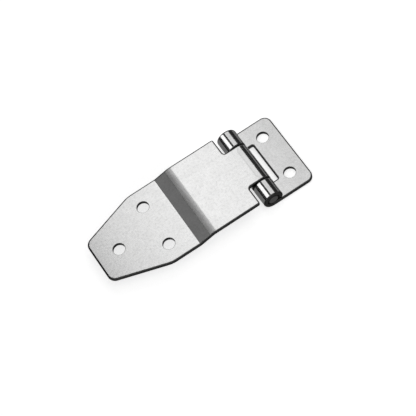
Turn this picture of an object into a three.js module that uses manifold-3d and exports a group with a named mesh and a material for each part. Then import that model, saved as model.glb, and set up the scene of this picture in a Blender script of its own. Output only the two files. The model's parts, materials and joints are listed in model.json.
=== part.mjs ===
// Cranked strap hinge: a long strap leaf and a short fixed leaf, each bent from one flat
// sheet, rolled into knuckles round a plain pin. It lies open flat.
//
// Millimetres, +Z up. The origin is on the back face of the short leaf, midway between its
// two screw holes. +X runs from the tip of the strap to the end of the short leaf, and the
// pin lies along Y.

import * as THREE from 'three';
import { mergeVertices } from 'three/addons/utils/BufferGeometryUtils.js';
import Module from 'manifold-3d';

const wasm = await Module();
wasm.setup();

// Sheet, pin and barrel.
const SHEET = 2.5;
const LEAF_WIDTH = 50;
const PIN_RADIUS = 3.5;
const PIN_CLEARANCE = 0.1;
const BORE_RADIUS = PIN_RADIUS + PIN_CLEARANCE;
const KNUCKLE_RADIUS = BORE_RADIUS + SHEET;
const BEND_RADIUS = BORE_RADIUS + SHEET / 2;
const CURL_TURN = 298;
const MIDDLE_KNUCKLE = 26;
const KNUCKLE_GAP = 0.3;

// Screw holes, the same size in both leaves.
const HOLE_RADIUS = 3.5;
const HOLE_SPACING = 28;

// Strap leaf, measured along X from the pin axis towards the tip.
const STRAP_TIP = 100;
const STRAP_TIP_WIDTH = 27.8;
const STRAP_TIP_HOLE = 86.3;
const STRAP_TAPER = 66.3;
const STRAP_HOLE_PAIR = 62;
const CRANK_LOW = 48;
const CRANK_HIGH = 37.5;
const CRANK_RISE = SHEET;
const CRANK_SHARP_RADIUS = 2;
const CRANK_SOFT_RADIUS = 9;
const STRAP_SHOULDER = 8.2;
const TIP_CORNER = 5;
const TAPER_CORNER = 15;
const SHOULDER_CORNER = 0.6;
const SHOULDER_ROOT = 1.6;

// Short leaf, measured along X from the pin axis the other way.
const SHORT_HOLES = 17.2;
const SHORT_END = 27;
const SHORT_CORNER = 4.5;
const NOTCH_EDGE = 10;
const NOTCH_ROOT = 0.8;

// Pin ends.
const PIN_LENGTH = 50;
const PIN_CROWN = 0.3;
const PIN_EDGE = 0.5;

// Facets.
const BEND_STEP = 5;
const CORNER_STEP = 10;
const ROUND_SEGMENTS = 72;
const PIN_SEGMENTS = 60;
const END_POINTS = 3;

const CUT_HEIGHT = 40;
const CUT_MARGIN = 1;
const HALF_WIDTH = LEAF_WIDTH / 2;
const ORIGIN = new THREE.Vector2();

function toSolid(geometry) {
  geometry.deleteAttribute('normal');
  geometry.deleteAttribute('uv');
  const merged = mergeVertices(geometry);
  const mesh = new wasm.Mesh({
    numProp: 3,
    vertProperties: new Float32Array(merged.attributes.position.array),
    triVerts: new Uint32Array(merged.index.array),
  });
  return new wasm.Manifold(mesh);
}

function toGeometry(solid) {
  const mesh = solid.getMesh();
  const geometry = new THREE.BufferGeometry();
  geometry.setAttribute('position', new THREE.BufferAttribute(mesh.vertProperties, mesh.numProp));
  geometry.setIndex(new THREE.BufferAttribute(mesh.triVerts, 1));
  geometry.computeVertexNormals();
  return geometry;
}

// Outline with rounded corners, from a list of [x, y, corner radius].
function roundedOutline(corners) {
  const points = [];
  corners.forEach(([x, y, radius], i) => {
    const corner = new THREE.Vector2(x, y);
    if (radius === 0) {
      points.push(corner);
      return;
    }
    const [beforeX, beforeY] = corners.at(i - 1);
    const [afterX, afterY] = corners[(i + 1) % corners.length];
    const arriving = corner.clone().sub(new THREE.Vector2(beforeX, beforeY)).normalize();
    const leaving = new THREE.Vector2(afterX, afterY).sub(corner).normalize();
    const turn = Math.atan2(arriving.cross(leaving), arriving.dot(leaving));
    const start = corner.clone().addScaledVector(arriving, -radius * Math.tan(Math.abs(turn) / 2));
    const towardsCentre = new THREE.Vector2(-arriving.y, arriving.x).multiplyScalar(Math.sign(turn));
    const centre = start.clone().addScaledVector(towardsCentre, radius);
    const steps = Math.ceil(Math.abs(THREE.MathUtils.radToDeg(turn)) / CORNER_STEP);
    for (let step = 0; step <= steps; step += 1) {
      points.push(start.clone().rotateAround(centre, (turn * step) / steps));
    }
  });
  return new THREE.Shape(points);
}

// Edge view of a bent sheet. The walk follows the middle of its thickness: a step has a run
// (a flat stretch) or a turn in degrees (positive to the left) with a radius.
function sheetProfile(start, headingDegrees, steps) {
  const position = start.clone();
  const heading = new THREE.Vector2(1, 0);
  heading.rotateAround(ORIGIN, THREE.MathUtils.degToRad(headingDegrees));
  const leftSide = [];
  const rightSide = [];
  const toTheLeft = () => new THREE.Vector2(-heading.y, heading.x);
  const markSides = () => {
    leftSide.push(position.clone().addScaledVector(toTheLeft(), SHEET / 2));
    rightSide.push(position.clone().addScaledVector(toTheLeft(), -SHEET / 2));
  };
  markSides();
  for (const { run, turn, radius } of steps) {
    if (run !== undefined) {
      position.addScaledVector(heading, run);
      markSides();
      continue;
    }
    const centre = position.clone().addScaledVector(toTheLeft(), Math.sign(turn) * radius);
    const count = Math.ceil(Math.abs(turn) / BEND_STEP);
    const angle = THREE.MathUtils.degToRad(turn / count);
    for (let i = 0; i < count; i += 1) {
      position.rotateAround(centre, angle);
      heading.rotateAround(ORIGIN, angle);
      markSides();
    }
  }
  return new THREE.Shape([...leftSide, ...rightSide.reverse()]);
}

// A sheet as wide as the leaf, standing from its edge view in the XZ plane.
function bentSheet(profile) {
  const geometry = new THREE.ExtrudeGeometry(profile, { depth: LEAF_WIDTH, bevelEnabled: false });
  geometry.rotateX(Math.PI / 2);
  geometry.translate(0, HALF_WIDTH, 0);
  return toSolid(geometry);
}

// The tall block that trims a sheet to its outline seen from above.
function outlineBlock(outline) {
  const geometry = new THREE.ExtrudeGeometry(outline, { depth: CUT_HEIGHT, bevelEnabled: false });
  geometry.translate(0, 0, -CUT_HEIGHT / 2);
  return toSolid(geometry);
}

function holeCutter(x, y) {
  const geometry = new THREE.CylinderGeometry(HOLE_RADIUS, HOLE_RADIUS, CUT_HEIGHT, ROUND_SEGMENTS);
  geometry.rotateX(Math.PI / 2);
  geometry.translate(x, y, 0);
  return toSolid(geometry);
}

function cutLeaf(profile, outline, holes) {
  let leaf = bentSheet(profile).intersect(outlineBlock(outline));
  for (const [x, y] of holes) {
    leaf = leaf.subtract(holeCutter(x, y));
  }
  return toGeometry(leaf);
}

// Slope of the crank, in degrees, so that its two bends and the flat between them fill the
// given length and rise.
function crankAngle(length, rise, radii) {
  const reach = Math.hypot(length, radii - rise);
  const slope = Math.asin(radii / reach) - Math.atan2(radii - rise, length);
  return THREE.MathUtils.radToDeg(slope);
}

// The strap lies on the top of the barrel: tail, crank, raised plate, then the middle
// knuckle rolled down round the pin. All leaf shapes are drawn about the pin axis.
function strapLeaf() {
  const raisedMiddle = KNUCKLE_RADIUS - SHEET / 2;
  const length = CRANK_LOW - CRANK_HIGH;
  const slope = crankAngle(length, CRANK_RISE, CRANK_SHARP_RADIUS + CRANK_SOFT_RADIUS);
  const slopeAngle = THREE.MathUtils.degToRad(slope);
  const bends = (CRANK_SHARP_RADIUS + CRANK_SOFT_RADIUS) * Math.sin(slopeAngle);
  const profile = sheetProfile(new THREE.Vector2(-STRAP_TIP, raisedMiddle - CRANK_RISE), 0, [
    { run: STRAP_TIP - CRANK_LOW },
    { turn: slope, radius: CRANK_SHARP_RADIUS },
    { run: (length - bends) / Math.cos(slopeAngle) },
    { turn: -slope, radius: CRANK_SOFT_RADIUS },
    { run: CRANK_HIGH },
    { turn: -CURL_TURN, radius: BEND_RADIUS },
  ]);
  const tip = STRAP_TIP_WIDTH / 2;
  const tongue = MIDDLE_KNUCKLE / 2;
  const pastKnuckle = KNUCKLE_RADIUS + CUT_MARGIN;
  const outline = roundedOutline([
    [-STRAP_TIP, -tip, TIP_CORNER],
    [-STRAP_TAPER, -HALF_WIDTH, TAPER_CORNER],
    [-STRAP_SHOULDER, -HALF_WIDTH, SHOULDER_CORNER],
    [-STRAP_SHOULDER, -tongue, SHOULDER_ROOT],
    [pastKnuckle, -tongue, 0],
    [pastKnuckle, tongue, 0],
    [-STRAP_SHOULDER, tongue, SHOULDER_ROOT],
    [-STRAP_SHOULDER, HALF_WIDTH, SHOULDER_CORNER],
    [-STRAP_TAPER, HALF_WIDTH, TAPER_CORNER],
    [-STRAP_TIP, tip, TIP_CORNER],
  ]);
  return cutLeaf(profile, outline, [
    [-STRAP_TIP_HOLE, 0],
    [-STRAP_HOLE_PAIR, -HOLE_SPACING / 2],
    [-STRAP_HOLE_PAIR, HOLE_SPACING / 2],
  ]);
}

// The short leaf lies level with the bottom of the barrel, and its two outer knuckles roll
// up round the pin from there.
function buttLeaf() {
  const profile = sheetProfile(new THREE.Vector2(SHORT_END, SHEET / 2 - KNUCKLE_RADIUS), 180, [
    { run: SHORT_END },
    { turn: -CURL_TURN, radius: BEND_RADIUS },
  ]);
  const notch = MIDDLE_KNUCKLE / 2 + KNUCKLE_GAP;
  const pastKnuckle = KNUCKLE_RADIUS + CUT_MARGIN;
  const outline = roundedOutline([
    [-pastKnuckle, -HALF_WIDTH, 0],
    [SHORT_END, -HALF_WIDTH, SHORT_CORNER],
    [SHORT_END, HALF_WIDTH, SHORT_CORNER],
    [-pastKnuckle, HALF_WIDTH, 0],
    [-pastKnuckle, notch, 0],
    [NOTCH_EDGE, notch, NOTCH_ROOT],
    [NOTCH_EDGE, -notch, NOTCH_ROOT],
    [-pastKnuckle, -notch, 0],
  ]);
  return cutLeaf(profile, outline, [
    [SHORT_HOLES, -HOLE_SPACING / 2],
    [SHORT_HOLES, HOLE_SPACING / 2],
  ]);
}

// Half outline of one pin end, from the centre of the slightly crowned face out to the rim.
function pinEnd() {
  const points = [];
  const faceRadius = PIN_RADIUS - PIN_EDGE;
  for (let i = 0; i <= END_POINTS; i += 1) {
    const share = i / END_POINTS;
    points.push([faceRadius * share, PIN_LENGTH / 2 - PIN_CROWN * share * share]);
  }
  const rimTop = PIN_LENGTH / 2 - PIN_CROWN;
  for (let i = 1; i <= END_POINTS; i += 1) {
    const angle = (Math.PI / 2) * (i / END_POINTS);
    points.push([faceRadius + PIN_EDGE * Math.sin(angle), rimTop - PIN_EDGE * (1 - Math.cos(angle))]);
  }
  return points;
}

function hingePin() {
  const end = pinEnd();
  const lower = end.map(([radius, y]) => new THREE.Vector2(radius, -y));
  const upper = end.map(([radius, y]) => new THREE.Vector2(radius, y)).reverse();
  return toGeometry(toSolid(new THREE.LatheGeometry([...lower, ...upper], PIN_SEGMENTS)));
}

function steel(colour, roughness) {
  return new THREE.MeshStandardMaterial({ color: colour, roughness, metalness: 1 });
}

function addPiece(group, name, geometry, material) {
  const piece = new THREE.Mesh(geometry, material);
  piece.name = name;
  group.add(piece);
}

const barrel = new THREE.Group();
barrel.position.set(-SHORT_HOLES, 0, KNUCKLE_RADIUS);
addPiece(barrel, 'strap_leaf', strapLeaf(), steel(0xdcdedd, 0.3));
addPiece(barrel, 'butt_leaf', buttLeaf(), steel(0xcfd1d1, 0.3));
addPiece(barrel, 'hinge_pin', hingePin(), steel(0x8f9192, 0.4));

const hinge = new THREE.Group();
hinge.add(barrel);

export default hinge;
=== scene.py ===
"""Looks of the cranked strap hinge: two bent stainless leaves rolled round a plain pin.

Each leaf is drawn as its flat blank, with holes and rounded corners, and the blank is then
bent along the sheet's middle line, so that its grain follows the metal round the knuckles.
Lengths in the size section are millimetres; everything in Blender is metres.
"""

import bisect
import json
import math

import bpy
from mathutils import Matrix, Vector
from mathutils.geometry import delaunay_2d_cdt


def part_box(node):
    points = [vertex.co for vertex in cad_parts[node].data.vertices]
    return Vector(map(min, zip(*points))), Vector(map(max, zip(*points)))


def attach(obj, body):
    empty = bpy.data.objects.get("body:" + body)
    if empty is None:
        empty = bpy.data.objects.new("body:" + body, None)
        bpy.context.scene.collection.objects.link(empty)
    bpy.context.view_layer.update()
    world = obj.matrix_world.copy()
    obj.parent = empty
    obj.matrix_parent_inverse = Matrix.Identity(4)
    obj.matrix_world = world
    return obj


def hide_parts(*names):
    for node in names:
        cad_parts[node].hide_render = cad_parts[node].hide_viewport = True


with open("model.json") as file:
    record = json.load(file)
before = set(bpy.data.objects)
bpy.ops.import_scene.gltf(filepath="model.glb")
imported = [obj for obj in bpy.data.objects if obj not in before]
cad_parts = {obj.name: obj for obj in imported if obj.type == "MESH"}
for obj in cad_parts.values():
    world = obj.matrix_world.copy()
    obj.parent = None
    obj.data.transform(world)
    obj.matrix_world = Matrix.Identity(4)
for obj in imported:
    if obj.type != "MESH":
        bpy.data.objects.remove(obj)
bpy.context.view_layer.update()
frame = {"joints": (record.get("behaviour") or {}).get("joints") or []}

MM = 0.001


# ---------------------------------------------------------------- sizes, from the frame

def frame_mm(node):
    low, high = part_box(node)
    return low / MM, high / MM


JOINT = frame["joints"][0]
PIN_X = JOINT["pos_m"][0] / MM
PIN_Z = JOINT["pos_m"][2] / MM
STRAP_LOW, STRAP_HIGH = frame_mm("strap_leaf")
BUTT_LOW, BUTT_HIGH = frame_mm("butt_leaf")
PIN_LOW, PIN_HIGH = frame_mm("hinge_pin")

HALF_WIDTH = STRAP_HIGH.y
KNUCKLE_RADIUS = PIN_Z
SHEET = 2.5
BEND_RADIUS = KNUCKLE_RADIUS - SHEET / 2
CURL_TURN = 298
MIDDLE_KNUCKLE = 26
KNUCKLE_GAP = 0.3
HOLE_RADIUS = 3.5
HOLE_SPACING = 28

STRAP_REACH = PIN_X - STRAP_LOW.x
STRAP_TIP_WIDTH = 27.8
STRAP_TIP_HOLE = 86.3
STRAP_TAPER = 66.3
STRAP_HOLE_PAIR = 62
CRANK_LOW = 48
CRANK_HIGH = 37.5
CRANK_RISE = SHEET
CRANK_SHARP_RADIUS = 2
CRANK_SOFT_RADIUS = 9
STRAP_SHOULDER = 8.2
TIP_CORNER = 5
TAPER_CORNER = 15
SHOULDER_CORNER = 1.05
SHOULDER_ROOT = 1.6

SHORT_REACH = BUTT_HIGH.x - PIN_X
SHORT_HOLES = 17.2
SHORT_CORNER = 4.5
NOTCH_EDGE = 10
NOTCH_ROOT = 0.8

CURL_CORNER = 1.05

# Worn-over edges: how far in the rounding starts, and how deep it goes. The outline is polished
# round on both faces; the holes only have their burr taken off.
OUTLINE_ROLL = (1.0, 0.5)
HOLE_ROLL = (0.25, 0.25)
ROLL_BAND = 0.2
CLEAR_BAND = 1.5

# Mesh fineness.
FLAT_STEP = 2.0
BEND_STEP = 0.3
CORNER_STEP = math.radians(7.5)
HOLE_POINTS = 64
ROUND_STEPS = 5
MERGE_WITHIN = 1e-5


# ---------------------------------------------------------------- bending a sheet

class SheetPath:
    """Middle line of a bent sheet seen edge-on in the XZ plane, walked by its own length."""

    def __init__(self, start, heading, steps):
        self.starts = []
        self.pieces = []
        self.length = 0.0
        point = Vector(start)
        for kind, amount, radius in steps:
            self.starts.append(self.length)
            self.pieces.append((point.copy(), heading, kind, amount, radius))
            span = amount if kind == "flat" else abs(amount) * radius
            point, heading = self._along(self.pieces[-1], span)
            self.length += span

    @staticmethod
    def _along(piece, distance):
        point, heading, kind, amount, radius = piece
        ahead = Vector((math.cos(heading), math.sin(heading)))
        if kind == "flat":
            return point + ahead * distance, heading
        side = math.copysign(1, amount)
        to_centre = Vector((-ahead.y, ahead.x)) * side * radius
        turned = side * distance / radius
        return point + to_centre - Matrix.Rotation(turned, 2) @ to_centre, heading + turned

    def at(self, distance):
        """Point on the middle line, and the direction of travel there as an angle."""
        index = max(bisect.bisect_right(self.starts, distance) - 1, 0)
        return self._along(self.pieces[index], distance - self.starts[index])

    def bends(self):
        for start, (_, _, kind, amount, radius) in zip(self.starts, self.pieces):
            if kind == "bend":
                yield start, start + abs(amount) * radius

    def bent(self, low, high):
        return any(low < stop and high > start for start, stop in self.bends())


def crank_slope(length, rise, radii):
    """Slope of a crank whose two bends and the flat between them fill the length and rise."""
    reach = math.hypot(length, radii - rise)
    return math.asin(radii / reach) - math.atan2(radii - rise, length)


def strap_path():
    length = CRANK_LOW - CRANK_HIGH
    radii = CRANK_SHARP_RADIUS + CRANK_SOFT_RADIUS
    slope = crank_slope(length, CRANK_RISE, radii)
    top_middle = PIN_Z + KNUCKLE_RADIUS - SHEET / 2
    return SheetPath((STRAP_LOW.x, top_middle - CRANK_RISE), 0.0, [
        ("flat", STRAP_REACH - CRANK_LOW, None),
        ("bend", slope, CRANK_SHARP_RADIUS),
        ("flat", (length - radii * math.sin(slope)) / math.cos(slope), None),
        ("bend", -slope, CRANK_SOFT_RADIUS),
        ("flat", CRANK_HIGH, None),
        ("bend", -math.radians(CURL_TURN), BEND_RADIUS),
    ])


def short_path():
    return SheetPath((BUTT_HIGH.x, SHEET / 2), math.pi, [
        ("flat", SHORT_REACH, None),
        ("bend", -math.radians(CURL_TURN), BEND_RADIUS),
    ])


# ---------------------------------------------------------------- flat blanks

def rounded_loop(corners):
    """Closed outline with rounded corners, from a list of (along, across, corner radius)."""
    points = []
    for i, (along, across, radius) in enumerate(corners):
        corner = Vector((along, across))
        before = Vector(corners[i - 1][:2])
        after = Vector(corners[(i + 1) % len(corners)][:2])
        arriving = (corner - before).normalized()
        leaving = (after - corner).normalized()
        turn = math.atan2(arriving.x * leaving.y - arriving.y * leaving.x, arriving.dot(leaving))
        start = corner - arriving * radius * math.tan(abs(turn) / 2)
        centre = start + Vector((-arriving.y, arriving.x)) * math.copysign(radius, turn)
        steps = math.ceil(abs(turn) / CORNER_STEP)
        for step in range(steps + 1):
            points.append(centre + Matrix.Rotation(turn * step / steps, 2) @ (start - centre))
    return points


def hole_loop(along, across):
    """A round hole, walked the other way round from the outline."""
    points = []
    for i in range(HOLE_POINTS):
        angle = -math.tau * i / HOLE_POINTS
        points.append(Vector((along + HOLE_RADIUS * math.cos(angle), across + HOLE_RADIUS * math.sin(angle))))
    return points


def refined(loop, path):
    """The loop with extra points, closer together where the sheet bends."""
    points = []
    for here, there in zip(loop, loop[1:] + loop[:1]):
        low, high = sorted((here.x, there.x))
        step = BEND_STEP if path.bent(low, high) else FLAT_STEP
        count = max(1, math.ceil((there - here).length / step))
        points += [here.lerp(there, i / count) for i in range(count)]
    return points


def outward_directions(loop):
    """Direction off the sheet at each point of a loop, lengthened at corners as a mitre is."""
    directions = []
    for i, here in enumerate(loop):
        before = (here - loop[i - 1]).normalized()
        after = (loop[(i + 1) % len(loop)] - here).normalized()
        normal_before = Vector((before.y, -before.x))
        normal_after = Vector((after.y, -after.x))
        middle = (normal_before + normal_after).normalized()
        directions.append(middle / max(middle.dot(normal_after), 0.5))
    return directions


def strap_blank(path):
    """Outline and holes of the strap before bending; lengths run from its tip."""
    raised = path.starts[4] - (STRAP_REACH - CRANK_HIGH)
    shoulder = STRAP_REACH - STRAP_SHOULDER + raised
    tip = STRAP_TIP_WIDTH / 2
    tongue = MIDDLE_KNUCKLE / 2
    taper = STRAP_REACH - STRAP_TAPER
    outline = rounded_loop([
        (0, -tip, TIP_CORNER),
        (taper, -HALF_WIDTH, TAPER_CORNER),
        (shoulder, -HALF_WIDTH, SHOULDER_CORNER),
        (shoulder, -tongue, SHOULDER_ROOT),
        (path.length, -tongue, CURL_CORNER),
        (path.length, tongue, CURL_CORNER),
        (shoulder, tongue, SHOULDER_ROOT),
        (shoulder, HALF_WIDTH, SHOULDER_CORNER),
        (taper, HALF_WIDTH, TAPER_CORNER),
        (0, tip, TIP_CORNER),
    ])
    pair = STRAP_REACH - STRAP_HOLE_PAIR
    holes = [
        (STRAP_REACH - STRAP_TIP_HOLE, 0),
        (pair, -HOLE_SPACING / 2),
        (pair, HOLE_SPACING / 2),
    ]
    return outline, holes


def short_blank(path):
    """Outline and holes of the short leaf before bending; lengths run from its free end."""
    notch = MIDDLE_KNUCKLE / 2 + KNUCKLE_GAP
    notch_edge = SHORT_REACH - NOTCH_EDGE
    outline = rounded_loop([
        (0, -HALF_WIDTH, SHORT_CORNER),
        (path.length, -HALF_WIDTH, CURL_CORNER),
        (path.length, -notch, CURL_CORNER),
        (notch_edge, -notch, NOTCH_ROOT),
        (notch_edge, notch, NOTCH_ROOT),
        (path.length, notch, CURL_CORNER),
        (path.length, HALF_WIDTH, CURL_CORNER),
        (0, HALF_WIDTH, SHORT_CORNER),
    ])
    along = SHORT_REACH - SHORT_HOLES
    return outline, [(along, -HOLE_SPACING / 2), (along, HOLE_SPACING / 2)]


# ---------------------------------------------------------------- leaf meshes

class LeafMesh:
    """Gathers the points of a bent sheet: each is placed by (along, across, height)."""

    def __init__(self, path):
        self.path = path
        self.points = []
        self.normals = []
        self.edges = []
        self.uvs = []
        self.faces = []

    def add(self, flat, height, lean, edge):
        """Adds a point of the blank. lean is the surface normal as (along, across, up)."""
        middle, heading = self.path.at(flat.x)
        ahead = Vector((math.cos(heading), 0, math.sin(heading)))
        across = Vector((0, 1, 0))
        up = ahead.cross(across)
        point = Vector((middle.x, flat.y, middle.y)) + up * height
        self.points.append(point * MM)
        self.normals.append((ahead * lean[0] + across * lean[1] + up * lean[2]).normalized())
        self.edges.append(edge)
        self.uvs.append((flat.x * MM, (flat.y + height - SHEET / 2) * MM))
        return len(self.points) - 1

    def face(self, *corners):
        self.faces.append(corners)


def edge_section(roll):
    """Section of a sheet edge from its upper face to its lower face, as a list of
    (inset from the outline, height, outward share of the normal, upward share, edge share)."""
    half = SHEET / 2
    inset, drop = roll
    upper = []
    for i in range(ROUND_STEPS + 1):
        angle = math.pi / 2 * i / ROUND_STEPS
        out = math.sin(angle)
        up = math.cos(angle)
        upper.append((inset * (1 - out), half - drop * (1 - up), out / inset, up / drop, out ** 2))
    lower = [(far, -height, out, -up, edge) for far, height, out, up, edge in reversed(upper)]
    return upper + lower


def add_edge(mesh, loop, roll):
    """Rounded edge all along one loop. Returns the point numbers of its two face rings."""
    directions = outward_directions(loop)
    rings = []
    for inset, height, out, up, edge in edge_section(roll):
        ring = []
        for flat, away in zip(loop, directions):
            unit = away.normalized()
            lean = (unit.x * out, unit.y * out, up)
            ring.append(mesh.add(flat - away * inset, height, lean, edge))
        rings.append(ring)
    for ring, below in zip(rings, rings[1:]):
        for i in range(len(ring)):
            j = (i + 1) % len(ring)
            mesh.face(ring[i], below[i], below[j], ring[j])
    return rings[0], rings[-1]


def inner_points(path, loops, holes):
    """Points inside the blank that a face of the sheet needs to bend smoothly."""
    lows = [min(p[axis] for p in loops[0]) for axis in (0, 1)]
    highs = [max(p[axis] for p in loops[0]) for axis in (0, 1)]
    stations = []
    along = lows[0]
    while along < highs[0]:
        stations.append(along)
        along += BEND_STEP if path.bent(along, along + BEND_STEP) else FLAT_STEP
    rows = math.ceil((highs[1] - lows[1]) / FLAT_STEP)
    points = []
    for along in stations:
        for row in range(1, rows):
            across = lows[1] + (highs[1] - lows[1]) * row / rows
            points.append(Vector((along, across)))
    return [p for p in points if clear_of_edges(p, loops[0], holes)]


def clear_of_edges(point, outline, holes):
    for along, across in holes:
        if (point - Vector((along, across))).length < HOLE_RADIUS + CLEAR_BAND:
            return False
    inside = False
    for here, there in zip(outline, outline[1:] + outline[:1]):
        span = there - here
        share = min(max((point - here).dot(span) / span.length_squared, 0), 1)
        if (point - here - span * share).length < CLEAR_BAND:
            return False
        if (here.y > point.y) != (there.y > point.y):
            if point.x < here.x + span.x * (point.y - here.y) / span.y:
                inside = not inside
    return inside


def add_face(mesh, loops, rolls, rings, inner, holes, side):
    """One broad face of the sheet, between its edge rings. side is 1 above and -1 below."""
    flats = []
    numbers = []
    borders = []
    for loop, roll, ring in zip(loops, rolls, rings):
        first = len(flats)
        for flat, away, number in zip(loop, outward_directions(loop), ring):
            flats.append(flat - away * roll[0])
            numbers.append(number)
        borders += [(first + i, first + (i + 1) % len(loop)) for i in range(len(loop))]
    for loop, roll in zip(loops, rolls):
        for flat, away in zip(loop, outward_directions(loop)):
            flats.append(flat - away * (roll[0] + ROLL_BAND))
            numbers.append(None)
    flats += inner
    numbers += [None] * len(inner)
    solved, _, triangles, origins, _, _ = delaunay_2d_cdt(flats, borders, [], 1, MERGE_WITHIN)
    kept = [mesh_number(mesh, flat, origin, numbers, side) for flat, origin in zip(solved, origins)]
    for triangle in triangles:
        middle = sum((Vector(solved[i]) for i in triangle), Vector((0, 0))) / 3
        if any((middle - Vector(hole)).length < HOLE_RADIUS + HOLE_ROLL[0] for hole in holes):
            continue
        corners = [kept[i] for i in triangle]
        mesh.face(*(corners if side > 0 else corners[::-1]))


def mesh_number(mesh, flat, origin, numbers, side):
    """Number of the mesh point for a solved point of a face, added if it is a new one."""
    for source in origin:
        if numbers[source] is not None:
            return numbers[source]
    return mesh.add(Vector(flat), side * SHEET / 2, (0, 0, side), 0.0)


def leaf_object(name, path, outline, holes):
    """A bent leaf as one closed mesh with its sheet UV map and its edge attribute."""
    leaf = LeafMesh(path)
    loops = [refined(outline, path)] + [hole_loop(*hole) for hole in holes]
    rolls = [OUTLINE_ROLL] + [HOLE_ROLL] * len(holes)
    tops = []
    bottoms = []
    for loop, roll in zip(loops, rolls):
        top, bottom = add_edge(leaf, loop, roll)
        tops.append(top)
        bottoms.append(bottom)
    inner = inner_points(path, loops, holes)
    add_face(leaf, loops, rolls, tops, inner, holes, 1)
    add_face(leaf, loops, rolls, bottoms, inner, holes, -1)
    return mesh_object(name, leaf.points, leaf.faces, leaf.normals, leaf.edges, leaf.uvs)


def mesh_object(name, points, faces, normals, edges, uvs):
    mesh = bpy.data.meshes.new(name)
    mesh.from_pydata(points, [], faces)
    mesh.polygons.foreach_set("use_smooth", [True] * len(mesh.polygons))
    edge = mesh.attributes.new("edge", "FLOAT", "POINT")
    edge.data.foreach_set("value", edges)
    layer = mesh.uv_layers.new(name="sheet")
    for loop in mesh.loops:
        layer.data[loop.index].uv = uvs[loop.vertex_index]
    mesh.normals_split_custom_set_from_vertices(normals)
    mesh.update()
    made = bpy.data.objects.new(name, mesh)
    bpy.context.scene.collection.objects.link(made)
    return made


# ---------------------------------------------------------------- pin mesh

PIN_CROWN = 0.3
PIN_EDGE = 0.5
PIN_SIDES = 96
PIN_STEP = 2.5
PIN_FACE_RINGS = 8


def pin_section():
    """Half section of the pin from one end to the other: (radius, along, normal, edge)."""
    radius = PIN_HIGH.z - PIN_Z
    half = PIN_HIGH.y
    flat = radius - PIN_EDGE
    end = []
    for i in range(PIN_FACE_RINGS + 1):
        share = i / PIN_FACE_RINGS
        tilt = 2 * PIN_CROWN * share / flat
        end.append((flat * share, half - PIN_CROWN * share ** 2, (tilt, 1), share ** 6))
    for i in range(1, ROUND_STEPS + 1):
        angle = math.pi / 2 * i / ROUND_STEPS
        rim = (flat + PIN_EDGE * math.sin(angle), half - PIN_CROWN - PIN_EDGE * (1 - math.cos(angle)))
        end.append((*rim, (math.sin(angle), math.cos(angle)), 1.0))
    shoulder = end[-1][1]
    count = math.ceil(2 * shoulder / PIN_STEP)
    body = []
    for i in range(1, count):
        body.append((radius, shoulder - 2 * shoulder * i / count, (1, 0), 0.0))
    far_end = [(r, -y, (out, -up), edge) for r, y, (out, up), edge in reversed(end)]
    return end + body + far_end


def pin_object(name):
    points = []
    normals = []
    edges = []
    uvs = []
    faces = []
    section = pin_section()
    axis = Vector((PIN_X, 0, PIN_Z))
    rings = []
    for radius, along, (out, up), edge in section:
        sides = PIN_SIDES if radius > 0 else 1
        ring = []
        for i in range(sides):
            angle = math.tau * i / PIN_SIDES
            spoke = Vector((math.cos(angle), 0, math.sin(angle)))
            ring.append(len(points))
            points.append((axis + spoke * radius + Vector((0, along, 0))) * MM)
            normals.append((spoke * out + Vector((0, up, 0))).normalized())
            edges.append(edge)
            uvs.append((along * MM, radius * angle * MM))
        rings.append(ring)
    for ring, below in zip(rings, rings[1:]):
        for i in range(PIN_SIDES):
            j = (i + 1) % PIN_SIDES
            corners = [ring[i % len(ring)], ring[j % len(ring)], below[j % len(below)], below[i % len(below)]]
            faces.append(tuple(dict.fromkeys(corners)))
    return mesh_object(name, points, faces, normals, edges, uvs)


# ---------------------------------------------------------------- materials

STRAP_STEEL = (0.8, 0.8, 0.797)
SHORT_STEEL = (0.72, 0.72, 0.718)
# Near black colour painted on the rounded sheet edges: painted shade that draws them as dark outlines.
SHADED_SHEET_EDGE = (0.06, 0.06, 0.06)
# The pin is coloured a dark grey far below the leaves so its ends read dark inside the barrel, and its end
# rims near black: painted shade.
DARKENED_PIN_STEEL = (0.3, 0.3, 0.3)
SHADED_PIN_RIM = (0.04, 0.04, 0.04)
POLISH_BRIGHT = 1.06
POLISH_DULL = 0.91
RUB = 0.3
SHEET_BUMP = 0.000002
BAR_BUMP = 0.000004


class Number:
    """A shader value that varies over a surface. Python's operators on it add Math nodes."""

    def __init__(self, paint, socket):
        self.paint = paint
        self.socket = socket

    def _math(self, operation, *values):
        made = self.paint.node("ShaderNodeMath", {"operation": operation}, dict(enumerate(values)))
        return Number(self.paint, made.outputs[0])

    def __add__(self, other):
        return self._math("ADD", self, other)

    def __sub__(self, other):
        return self._math("SUBTRACT", self, other)

    def __rsub__(self, other):
        return self._math("SUBTRACT", other, self)

    def __mul__(self, other):
        return self._math("MULTIPLY", self, other)

    __radd__ = __add__
    __rmul__ = __mul__

    def between(self, low, high):
        """0 below low, 1 above high, and smooth in between."""
        made = self.paint.node(
            "ShaderNodeMapRange",
            {"interpolation_type": "SMOOTHSTEP"},
            {"Value": self, "From Min": low, "From Max": high},
        )
        return Number(self.paint, made.outputs["Result"])


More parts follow.
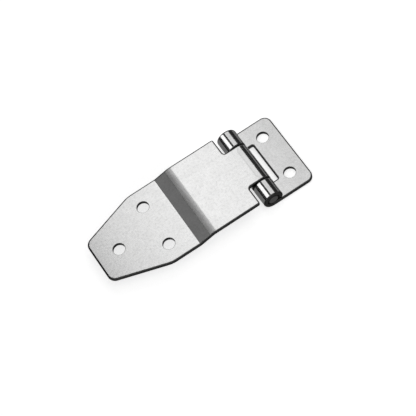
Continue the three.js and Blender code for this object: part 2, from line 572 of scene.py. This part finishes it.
class Paint:
    """The node tree of one material."""

    def __init__(self, name):
        self.material = bpy.data.materials.new(name)
        self.material.use_nodes = True
        self.tree = self.material.node_tree
        self.tree.nodes.clear()

    def node(self, kind, settings=None, sockets=None):
        made = self.tree.nodes.new(kind)
        for name, value in (settings or {}).items():
            setattr(made, name, value)
        for name, value in (sockets or {}).items():
            source = value.socket if isinstance(value, Number) else value
            if isinstance(source, bpy.types.NodeSocket):
                self.tree.links.new(source, made.inputs[name])
            else:
                made.inputs[name].default_value = source
        return made

    def sheet(self, along, across):
        """Place on the flat blank, stretched by a scale along the sheet and one across it."""
        place = self.node("ShaderNodeUVMap", {"uv_map": "sheet"}).outputs["UV"]
        scale = (along, across, 1)
        scaled = self.node("ShaderNodeVectorMath", {"operation": "MULTIPLY"}, {0: place, 1: scale})
        return scaled.outputs["Vector"]

    def noise(self, place, detail, roughness=0.5):
        made = self.node(
            "ShaderNodeTexNoise",
            {"noise_dimensions": "3D"},
            {"Vector": place, "Scale": 1.0, "Detail": detail, "Roughness": roughness},
        )
        return Number(self, made.outputs["Fac"])

    def attribute(self, name):
        made = self.node("ShaderNodeAttribute", {"attribute_name": name})
        return Number(self, made.outputs["Fac"])

    def blend(self, share, first, second):
        made = self.node("ShaderNodeMix", {"data_type": "RGBA"}, {0: share, 6: first, 7: second})
        return made.outputs[2]

    def bump(self, height, depth):
        made = self.node("ShaderNodeBump", None, {"Height": height, "Distance": depth, "Strength": 1.0})
        return made.outputs["Normal"]

    def finish(self, **sockets):
        named = {name.replace("_", " ").title(): value for name, value in sockets.items()}
        surface = self.node("ShaderNodeBsdfPrincipled", None, named)
        output = self.node("ShaderNodeOutputMaterial")
        self.tree.links.new(surface.outputs[0], output.inputs["Surface"])
        return self.material


def satin_steel(name, face, edge, rubbed=None):
    """Satin polished stainless sheet: soft cloudy polish, fine drawn grain along the sheet,
    and painted shade on the rounded edges and hole rims: a near black colour that draws them
    as dark outlines. rubbed is a stretch of the sheet, in metres, dulled by the press."""
    paint = Paint(name)
    clouds = paint.noise(paint.sheet(160, 160), 4.0, 0.6)
    speckle = paint.noise(paint.sheet(800, 800), 3.0)
    grain = paint.noise(paint.sheet(60, 4200), 3.0, 0.6)
    rim_shade_noise = paint.noise(paint.sheet(700, 700), 3.0)
    # Painted shade: the rounded edges and hole rims take the near black edge colour, broken up a little by
    # noise, to draw dark outlines; the same mask also makes them rougher.
    rim = (paint.attribute("edge") + 0.12 * (rim_shade_noise - 0.5)).between(-0.02, 0.2)
    polish = (0.6 * clouds + 0.25 * speckle + 0.15 * grain).between(0.28, 0.72)
    bright = tuple(channel * POLISH_BRIGHT for channel in face)
    dull = tuple(channel * POLISH_DULL for channel in face)
    sheet_colour = paint.blend(polish, (*dull, 1), (*bright, 1))
    roughness = 0.09 + 0.05 * clouds + 0.04 * grain + 0.15 * rim
    if rubbed:
        place = paint.node("ShaderNodeSeparateXYZ", None, {"Vector": paint.sheet(1, 1)})
        along = Number(paint, place.outputs["X"])
        start, stop = rubbed
        fade = (stop - start) / 2
        rub = along.between(start - fade, start) * (1 - along.between(stop, stop + fade))
        roughness = roughness + RUB * rub
    return paint.finish(
        base_color=paint.blend(rim, sheet_colour, (*edge, 1)),
        metallic=1.0,
        roughness=roughness,
        normal=paint.bump(0.6 * grain + 0.4 * speckle, SHEET_BUMP),
    )


def drawn_bar(name, face, edge):
    """Cold drawn pin: faint rings on the faced ends and long draw lines down its length."""
    paint = Paint(name)
    lines = paint.noise(paint.sheet(80, 5000), 3.0)
    clouds = paint.noise(paint.sheet(400, 400), 3.0)
    # Painted shade: the rounded rims and the outer part of the end faces take the near black rim colour, so
    # each pin end reads as a dark ring.
    rim = paint.attribute("edge").between(0.3, 0.9)
    sheen = (0.6 * clouds + 0.4 * lines).between(0.3, 0.7)
    body = paint.blend(sheen, (*(channel * 0.85 for channel in face), 1), (*face, 1))
    return paint.finish(
        base_color=paint.blend(rim, body, (*edge, 1)),
        metallic=1.0,
        roughness=0.25 + 0.15 * clouds,
        normal=paint.bump(lines, BAR_BUMP),
    )


def matte(name, shade, glow):
    """Plain matte surface of one grey that gives off a little even light."""
    paint = Paint(name)
    place = paint.node("ShaderNodeTexCoord").outputs["Object"]
    return paint.finish(
        base_color=(shade, shade, shade, 1),
        roughness=0.75 + 0.1 * paint.noise(place, 2.0),
        emission_color=(1, 1, 1, 1),
        emission_strength=glow,
    )


# ---------------------------------------------------------------- the hinge

def dress(piece, material, body, node):
    piece.data.materials.append(material)
    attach(piece, body)
    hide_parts(node)


def rubbed_bend(path):
    """Start and end of the crank's soft bend along the sheet, in metres."""
    return path.starts[3] * MM, path.starts[4] * MM


strap = strap_path()
dress(
    leaf_object("strap_leaf_sheet", strap, *strap_blank(strap)),
    satin_steel("strap_steel", STRAP_STEEL, SHADED_SHEET_EDGE, rubbed_bend(strap)),
    "strap_side", "strap_leaf",
)

short = short_path()
dress(
    leaf_object("short_leaf_sheet", short, *short_blank(short)),
    satin_steel("butt_steel", SHORT_STEEL, SHADED_SHEET_EDGE),
    "short_side", "butt_leaf",
)

dress(
    pin_object("hinge_pin_bar"),
    drawn_bar("pin_steel", DARKENED_PIN_STEEL, SHADED_PIN_RIM),
    "short_side", "hinge_pin",
)


# ---------------------------------------------------------------- floor, lights and camera

FLOOR_SIZE = 6.0
FLOOR_DROP = 0.0003
FLOOR_SHADE = 0.9
FLOOR_GLOW = 0.65
# A dark sheet that glows dimly and is seen only in the steel's reflections: painted reflection that darkens
# the steel's lower sides and edges.
REFLECTION_SHEET_DROP = 0.001
REFLECTION_SHEET_SHADE = 0.05
REFLECTION_SHEET_GLOW = 0.15
ROOM_LIGHT = 0.022

CAMERA_TARGET = Vector((-0.0495, -0.0068, 0.006))
CAMERA_AZIMUTH = math.radians(-14.21)
CAMERA_HEIGHT = math.radians(61.77)
CAMERA_DISTANCE = 1.001
CAMERA_ROLL = math.radians(-20.35)
LENS = 155.8


def ground(name, depth, material):
    half = FLOOR_SIZE / 2
    corners = [(-half, -half), (half, -half), (half, half), (-half, half)]
    mesh = bpy.data.meshes.new(name)
    mesh.from_pydata([(x, y, -depth) for x, y in corners], [], [(0, 1, 2, 3)])
    mesh.materials.append(material)
    made = bpy.data.objects.new(name, mesh)
    bpy.context.scene.collection.objects.link(made)
    return made


def floor():
    """Plain white paper to look at, and below it a dim glowing sheet that only the steel's reflections see: a
    painted reflection that keeps the steel's lower sides and edges dark.
    """
    paper = ground("floor", FLOOR_DROP, matte("floor_paper", FLOOR_SHADE, FLOOR_GLOW))
    paper.visible_glossy = False
    dark_reflection_sheet = ground("dark_reflection_sheet", REFLECTION_SHEET_DROP, matte("dark_reflection_paint", REFLECTION_SHEET_SHADE, REFLECTION_SHEET_GLOW))
    dark_reflection_sheet.visible_camera = False
    dark_reflection_sheet.visible_diffuse = False


def softbox(name, centre, size, radiance, aim=None):
    """A flat rectangular light of even brightness. It faces straight down, or to its aim."""
    light = bpy.data.lights.new(name, "AREA")
    light.shape = "RECTANGLE"
    light.size, light.size_y = size
    light.energy = radiance * math.pi * size[0] * size[1]
    made = bpy.data.objects.new(name, light)
    made.location = centre
    if aim is not None:
        made.rotation_euler = (Vector(aim) - Vector(centre)).to_track_quat("-Z", "Y").to_euler()
    made.visible_camera = False
    bpy.context.scene.collection.objects.link(made)


def dim_room(brightness):
    world = bpy.data.worlds.new("room")
    world.use_nodes = True
    world.node_tree.nodes["Background"].inputs["Color"].default_value = (brightness,) * 3 + (1,)
    bpy.context.scene.world = world


def lights():
    dim_room(ROOM_LIGHT)
    # Overhead boxes that the flat plates mirror towards the camera.
    softbox("tail_box", (0.115, 2.0, 3.0), (0.21, 2.4), 0.95)
    softbox("strap_box", (0.38, 2.0, 3.0), (0.32, 2.4), 1.12)
    softbox("short_leaf_box", (0.68, 2.0, 3.0), (0.28, 2.4), 0.76)
    softbox("barrel_box", (1.86, 2.0, 3.0), (2.08, 2.4), 0.9)
    # Dimmer box that the slope of the crank mirrors.
    softbox("slope_box", (-1.5, 2.0, 3.0), (0.9, 2.4), 0.16)
    # Small upright card over the crank, for the bright streak along the knuckles.
    softbox("barrel_card", (-0.0535, 0.036, 0.068), (0.1, 0.07), 1.4, (0.5, 0.036, 0.068))
    # Broad light from above and from the sides, for the floor and for other views.
    softbox("top_box", (0, -0.9, 3.0), (4.4, 3.0), 0.8)
    softbox("front_wall", (0, -3.2, 1.3), (6.8, 2.4), 0.6, (0, 0, 1.3))
    softbox("far_wall", (0, 3.6, 0.9), (3.6, 1.7), 0.35, (0, 0, 0.9))
    for side in (-1, 1):
        softbox("side_wall", (side * 3.4, -1.3, 1.2), (3.8, 2.2), 0.5, (0, -1.3, 1.2))
        softbox("corner_wall", (side * 2.56, 2.74, 1.45), (1.15, 2.7), 0.3, (0, 0, 1.45))


def camera():
    data = bpy.data.cameras.new("camera")
    data.lens = LENS
    made = bpy.data.objects.new("camera", data)
    back = Vector((
        math.sin(CAMERA_AZIMUTH) * math.cos(CAMERA_HEIGHT),
        -math.cos(CAMERA_AZIMUTH) * math.cos(CAMERA_HEIGHT),
        math.sin(CAMERA_HEIGHT),
    ))
    made.location = CAMERA_TARGET + back * CAMERA_DISTANCE
    level = back.to_track_quat("Z", "Y")
    made.rotation_euler = (level.to_matrix() @ Matrix.Rotation(CAMERA_ROLL, 3, "Z")).to_euler()
    bpy.context.scene.collection.objects.link(made)
    bpy.context.scene.camera = made


floor()
lights()
camera()
bpy.context.scene.view_settings.view_transform = "Standard"
